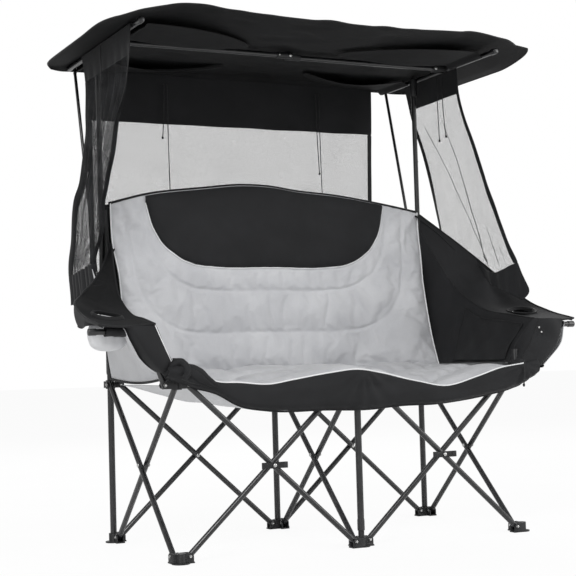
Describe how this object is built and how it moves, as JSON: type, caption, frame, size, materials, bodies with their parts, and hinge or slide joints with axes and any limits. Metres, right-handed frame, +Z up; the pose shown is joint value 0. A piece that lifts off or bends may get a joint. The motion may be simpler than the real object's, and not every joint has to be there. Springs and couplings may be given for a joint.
{
  "type": "folding camping loveseat",
  "caption": "Two-place folding camp chair with padded seat and back, padded arms with cup holders, six crossed-tube legs, and a tilting shade canopy with side and rear mesh curtains.",
  "frame": {"origin": "on the floor, under the middle of the object's overall box", "axes": "+X to the sitter's left along the seat, +Y to the back, +Z up"},
  "size_m": [1.5762, 0.8226, 1.5102],
  "materials": {
    "tube": "satin black powder coat on thin steel tube",
    "moulding": "black moulded nylon, light grain",
    "black_cloth": "black woven polyester",
    "grey_cloth": "light grey woven polyester, padded and quilted",
    "mesh_cloth": "fine black netting with black cloth borders"
  },
  "bodies": {
    "front_middle_foot": {"front_middle_foot": "moulding"},
    "front_left_foot": {"front_left_foot": "moulding"},
    "front_right_foot": {"front_right_foot": "moulding"},
    "rear_middle_foot": {"rear_middle_foot": "moulding", "rear_middle_post": "tube", "backrest": "grey_cloth", "headrest_panel": "black_cloth"},
    "rear_left_foot": {"rear_left_foot": "moulding", "rear_left_post": "tube", "canopy_upright_left": "tube", "canopy_socket_left": "moulding", "rail_housing_left": "moulding", "side_panel_left": "black_cloth"},
    "rear_right_foot": {"rear_right_foot": "moulding", "rear_right_post": "tube", "canopy_upright_right": "tube", "canopy_socket_right": "moulding", "rail_housing_right": "moulding", "side_panel_right": "black_cloth"},
    "front_middle_hub": {"front_middle_hub": "moulding", "front_middle_post": "tube", "seat": "grey_cloth", "front_band": "black_cloth"},
    "front_left_hub": {"front_left_hub": "moulding", "cup_pouch_left": "grey_cloth"},
    "front_right_hub": {"front_right_hub": "moulding", "cup_pouch_right": "grey_cloth"},
    "rear_middle_hub": {"rear_middle_hub": "moulding"},
    "rear_left_hub": {"rear_left_hub": "moulding"},
    "rear_right_hub": {"rear_right_hub": "moulding"},
    "front_left_spacer_plate": {"front_left_spacer_plate": "moulding"},
    "front_right_spacer_plate": {"front_right_spacer_plate": "moulding"},
    "canopy_rail_left": {"canopy_rail_left": "tube", "roof_cloth": "black_cloth", "side_curtain_left": "mesh_cloth"},
    "canopy_rail_right": {"canopy_rail_right": "tube", "side_curtain_right": "mesh_cloth"},
    "canopy_brace_left": {"canopy_brace_left": "tube", "rear_curtain": "mesh_cloth"},
    "canopy_brace_right": {"canopy_brace_right": "tube"},
    "canopy_strut_left": {"canopy_strut_left": "tube"},
    "canopy_strut_right": {"canopy_strut_right": "tube"},
    "arm_support_left": {"arm_support_left": "tube"},
    "arm_bar_left": {"arm_bar_left": "tube"},
    "arm_support_right": {"arm_support_right": "tube"},
    "arm_bar_right": {"arm_bar_right": "tube"},
    "front_left_rear_tube": {"front_left_rear_tube": "tube"},
    "front_left_front_tube": {"front_left_front_tube": "tube"},
    "front_right_rear_tube": {"front_right_rear_tube": "tube"},
    "front_right_front_tube": {"front_right_front_tube": "tube"},
    "rear_left_front_tube": {"rear_left_front_tube": "tube"},
    "rear_left_rear_tube": {"rear_left_rear_tube": "tube"},
    "rear_right_front_tube": {"rear_right_front_tube": "tube"},
    "rear_right_rear_tube": {"rear_right_rear_tube": "tube"},
    "left_side_inner_tube": {"left_side_inner_tube": "tube"},
    "left_side_outer_tube": {"left_side_outer_tube": "tube"},
    "middle_right_tube": {"middle_right_tube": "tube"},
    "middle_left_tube": {"middle_left_tube": "tube"},
    "right_side_outer_tube": {"right_side_outer_tube": "tube"},
    "right_side_inner_tube": {"right_side_inner_tube": "tube"}
  },
  "joints": [
    {"name": "frame_fold", "type": "hinge", "parent": "front_middle_foot", "child": "front_left_front_tube", "pos_m": [-0.027, -0.39035, 0.018], "axis": [0, 1, 0], "range_deg": [0, 44], "deforming": ["seat", "front_band", "backrest", "headrest_panel", "side_panel_left", "side_panel_right", "roof_cloth", "rear_curtain", "side_curtain_left", "side_curtain_right"]},
    {"name": "front_left_rear_tube_crossing", "type": "hinge", "parent": "front_left_front_tube", "child": "front_left_rear_tube", "pos_m": [-0.275, -0.38135, 0.247], "axis": [0, -1, 0], "range_deg": [0, 88.5]},
    {"name": "front_left_foot_pivot", "type": "hinge", "parent": "front_left_rear_tube", "child": "front_left_foot", "pos_m": [-0.523, -0.37235, 0.018], "axis": [0, 1, 0], "range_deg": [0, 44.5]},
    {"name": "front_middle_hub_pivot", "type": "hinge", "parent": "front_left_rear_tube", "child": "front_middle_hub", "pos_m": [-0.027, -0.37235, 0.476], "axis": [0, 1, 0], "range_deg": [0, 44.5]},
    {"name": "front_left_hub_pivot", "type": "hinge", "parent": "front_left_front_tube", "child": "front_left_hub", "pos_m": [-0.523, -0.39035, 0.476], "axis": [0, -1, 0], "range_deg": [0, 44.5]},
    {"name": "front_left_plate_pivot", "type": "hinge", "parent": "front_left_front_tube", "child": "front_left_spacer_plate", "pos_m": [-0.275, -0.38135, 0.247], "axis": [0, -1, 0], "range_deg": [0, 44.5]},
    {"name": "front_right_rear_tube_pivot", "type": "hinge", "parent": "front_middle_foot", "child": "front_right_rear_tube", "pos_m": [0.027, -0.37235, 0.018], "axis": [0, -1, 0], "range_deg": [0, 44.5]},
    {"name": "front_right_front_tube_crossing", "type": "hinge", "parent": "front_right_rear_tube", "child": "front_right_front_tube", "pos_m": [0.275, -0.38135, 0.247], "axis": [0, 1, 0], "range_deg": [0, 88.5]},
    {"name": "front_right_foot_pivot", "type": "hinge", "parent": "front_right_front_tube", "child": "front_right_foot", "pos_m": [0.523, -0.39035, 0.018], "axis": [0, -1, 0], "range_deg": [0, 44.5]},
    {"name": "front_right_hub_pivot", "type": "hinge", "parent": "front_right_rear_tube", "child": "front_right_hub", "pos_m": [0.523, -0.37235, 0.476], "axis": [0, 1, 0], "range_deg": [0, 44.5]},
    {"name": "front_right_plate_pivot", "type": "hinge", "parent": "front_right_front_tube", "child": "front_right_spacer_plate", "pos_m": [0.275, -0.38135, 0.247], "axis": [0, -1, 0], "range_deg": [0, 44.5]},
    {"name": "middle_left_tube_pivot", "type": "hinge", "parent": "front_middle_foot", "child": "middle_left_tube", "pos_m": [-0.009, -0.35435, 0.018], "axis": [1, 0, 0], "range_deg": [0, 44.5]},
    {"name": "middle_right_tube_crossing", "type": "hinge", "parent": "middle_left_tube", "child": "middle_right_tube", "pos_m": [0, -0.10635, 0.247], "axis": [-1, 0, 0], "range_deg": [0, 88.5]},
    {"name": "rear_middle_foot_pivot", "type": "hinge", "parent": "middle_right_tube", "child": "rear_middle_foot", "pos_m": [0.009, 0.14165, 0.018], "axis": [1, 0, 0], "range_deg": [0, 44.5]},
    {"name": "rear_middle_hub_pivot", "type": "hinge", "parent": "middle_left_tube", "child": "rear_middle_hub", "pos_m": [-0.009, 0.14165, 0.476], "axis": [-1, 0, 0], "range_deg": [0, 44.5]},
    {"name": "left_side_outer_tube_pivot", "type": "hinge", "parent": "front_left_foot", "child": "left_side_outer_tube", "pos_m": [-0.559, -0.35435, 0.018], "axis": [1, 0, 0], "range_deg": [0, 44.5]},
    {"name": "left_side_inner_tube_crossing", "type": "hinge", "parent": "left_side_outer_tube", "child": "left_side_inner_tube", "pos_m": [-0.55, -0.10635, 0.247], "axis": [-1, 0, 0], "range_deg": [0, 88.5]},
    {"name": "rear_left_foot_pivot", "type": "hinge", "parent": "left_side_inner_tube", "child": "rear_left_foot", "pos_m": [-0.541, 0.14165, 0.018], "axis": [1, 0, 0], "range_deg": [0, 44.5]},
    {"name": "rear_left_hub_pivot", "type": "hinge", "parent": "left_side_outer_tube", "child": "rear_left_hub", "pos_m": [-0.559, 0.14165, 0.476], "axis": [-1, 0, 0], "range_deg": [0, 44.5]},
    {"name": "right_side_inner_tube_pivot", "type": "hinge", "parent": "front_right_foot", "child": "right_side_inner_tube", "pos_m": [0.541, -0.35435, 0.018], "axis": [1, 0, 0], "range_deg": [0, 44.5]},
    {"name": "right_side_outer_tube_crossing", "type": "hinge", "parent": "right_side_inner_tube", "child": "right_side_outer_tube", "pos_m": [0.55, -0.10635, 0.247], "axis": [-1, 0, 0], "range_deg": [0, 88.5]},
    {"name": "rear_right_foot_pivot", "type": "hinge", "parent": "right_side_outer_tube", "child": "rear_right_foot", "pos_m": [0.559, 0.14165, 0.018], "axis": [1, 0, 0], "range_deg": [0, 44.5]},
    {"name": "rear_right_hub_pivot", "type": "hinge", "parent": "right_side_inner_tube", "child": "rear_right_hub", "pos_m": [0.541, 0.14165, 0.476], "axis": [-1, 0, 0], "range_deg": [0, 44.5]},
    {"name": "rear_left_front_tube_pivot", "type": "hinge", "parent": "rear_middle_foot", "child": "rear_left_front_tube", "pos_m": [-0.027, 0.15965, 0.018], "axis": [0, 1, 0], "range_deg": [0, 44.5]},
    {"name": "rear_left_rear_tube_crossing", "type": "hinge", "parent": "rear_left_front_tube", "child": "rear_left_rear_tube", "pos_m": [-0.275, 0.16865, 0.247], "axis": [0, -1, 0], "range_deg": [0, 88.5]},
    {"name": "rear_right_rear_tube_pivot", "type": "hinge", "parent": "rear_middle_foot", "child": "rear_right_rear_tube", "pos_m": [0.027, 0.17765, 0.018], "axis": [0, -1, 0], "range_deg": [0, 44.5]},
    {"name": "rear_right_front_tube_crossing", "type": "hinge", "parent": "rear_right_rear_tube", "child": "rear_right_front_tube", "pos_m": [0.275, 0.16865, 0.247], "axis": [0, 1, 0], "range_deg": [0, 88.5]},
    {"name": "arm_support_left_pivot", "type": "hinge", "parent": "front_left_hub", "child": "arm_support_left", "pos_m": [-0.586, -0.38135, 0.476], "axis": [0, 1, 0], "range_deg": [0, 18.5]},
    {"name": "arm_bar_left_pivot", "type": "hinge", "parent": "arm_support_left", "child": "arm_bar_left", "pos_m": [-0.63512, -0.36335, 0.62196], "axis": [0, 1, 0], "range_deg": [0, 66.5]},
    {"name": "arm_support_right_pivot", "type": "hinge", "parent": "front_right_hub", "child": "arm_support_right", "pos_m": [0.586, -0.38135, 0.476], "axis": [0, -1, 0], "range_deg": [0, 18.5]},
    {"name": "arm_bar_right_pivot", "type": "hinge", "parent": "arm_support_right", "child": "arm_bar_right", "pos_m": [0.63512, -0.36335, 0.62196], "axis": [0, -1, 0], "range_deg": [0, 66.5]},
    {"name": "canopy_fold", "type": "hinge", "parent": "rear_left_foot", "child": "canopy_rail_left", "pos_m": [-0.59009, 0.19365, 1.487], "axis": [1, 0, 0], "range_deg": [0, 75], "deforming": ["roof_cloth", "rear_curtain", "side_curtain_left", "side_curtain_right"]},
    {"name": "canopy_brace_left_pivot", "type": "hinge", "parent": "canopy_rail_left", "child": "canopy_brace_left", "pos_m": [-0.57499, 0.38365, 1.487], "axis": [-1, 0, 0], "range_deg": [0, 60.66]},
    {"name": "canopy_strut_left_pivot", "type": "hinge", "parent": "canopy_rail_left", "child": "canopy_strut_left", "pos_m": [-0.54509, -0.01035, 1.487], "axis": [0, 1, 0], "range_deg": [0, 81.24]},
    {"name": "canopy_rail_right_pivot", "type": "hinge", "parent": "rear_right_foot", "child": "canopy_rail_right", "pos_m": [0.59009, 0.19365, 1.487], "axis": [1, 0, 0], "range_deg": [0, 75.5]},
    {"name": "canopy_brace_right_pivot", "type": "hinge", "parent": "canopy_rail_right", "child": "canopy_brace_right", "pos_m": [0.57499, 0.38365, 1.487], "axis": [-1, 0, 0], "range_deg": [0, 60.66]},
    {"name": "canopy_strut_right_pivot", "type": "hinge", "parent": "canopy_rail_right", "child": "canopy_strut_right", "pos_m": [0.54509, 0.00765, 1.487], "axis": [0, -1, 0], "range_deg": [0, 81.24]}
  ],
  "couplings": [
    {"joint": "front_left_rear_tube_crossing", "follows": "frame_fold", "ratio": 2},
    {"joint": "front_left_foot_pivot", "follows": "frame_fold", "ratio": 1},
    {"joint": "front_middle_hub_pivot", "follows": "frame_fold", "ratio": 1},
    {"joint": "front_left_hub_pivot", "follows": "frame_fold", "ratio": 1},
    {"joint": "front_left_plate_pivot", "follows": "frame_fold", "ratio": 1},
    {"joint": "front_right_rear_tube_pivot", "follows": "frame_fold", "ratio": 1},
    {"joint": "front_right_front_tube_crossing", "follows": "frame_fold", "ratio": 2},
    {"joint": "front_right_foot_pivot", "follows": "frame_fold", "ratio": 1},
    {"joint": "front_right_hub_pivot", "follows": "frame_fold", "ratio": 1},
    {"joint": "front_right_plate_pivot", "follows": "frame_fold", "ratio": 1},
    {"joint": "middle_left_tube_pivot", "follows": "frame_fold", "ratio": 1},
    {"joint": "middle_right_tube_crossing", "follows": "frame_fold", "ratio": 2},
    {"joint": "rear_middle_foot_pivot", "follows": "frame_fold", "ratio": 1},
    {"joint": "rear_middle_hub_pivot", "follows": "frame_fold", "ratio": 1},
    {"joint": "left_side_outer_tube_pivot", "follows": "frame_fold", "ratio": 1},
    {"joint": "left_side_inner_tube_crossing", "follows": "frame_fold", "ratio": 2},
    {"joint": "rear_left_foot_pivot", "follows": "frame_fold", "ratio": 1},
    {"joint": "rear_left_hub_pivot", "follows": "frame_fold", "ratio": 1},
    {"joint": "right_side_inner_tube_pivot", "follows": "frame_fold", "ratio": 1},
    {"joint": "right_side_outer_tube_crossing", "follows": "frame_fold", "ratio": 2},
    {"joint": "rear_right_foot_pivot", "follows": "frame_fold", "ratio": 1},
    {"joint": "rear_right_hub_pivot", "follows": "frame_fold", "ratio": 1},
    {"joint": "rear_left_front_tube_pivot", "follows": "frame_fold", "ratio": 1},
    {"joint": "rear_left_rear_tube_crossing", "follows": "frame_fold", "ratio": 2},
    {"joint": "rear_right_rear_tube_pivot", "follows": "frame_fold", "ratio": 1},
    {"joint": "rear_right_front_tube_crossing", "follows": "frame_fold", "ratio": 2},
    {"joint": "arm_support_left_pivot", "follows": "frame_fold", "ratio": 0.40909},
    {"joint": "arm_bar_left_pivot", "follows": "frame_fold", "ratio": 1.5},
    {"joint": "arm_support_right_pivot", "follows": "frame_fold", "ratio": 0.40909},
    {"joint": "arm_bar_right_pivot", "follows": "frame_fold", "ratio": 1.5},
    {"joint": "canopy_brace_left_pivot", "follows": "canopy_fold", "ratio": 0.8022},
    {"joint": "canopy_strut_left_pivot", "follows": "frame_fold", "ratio": 1.835},
    {"joint": "canopy_rail_right_pivot", "follows": "canopy_fold", "ratio": 1},
    {"joint": "canopy_brace_right_pivot", "follows": "canopy_fold", "ratio": 0.8022},
    {"joint": "canopy_strut_right_pivot", "follows": "frame_fold", "ratio": 1.835}
  ]
}
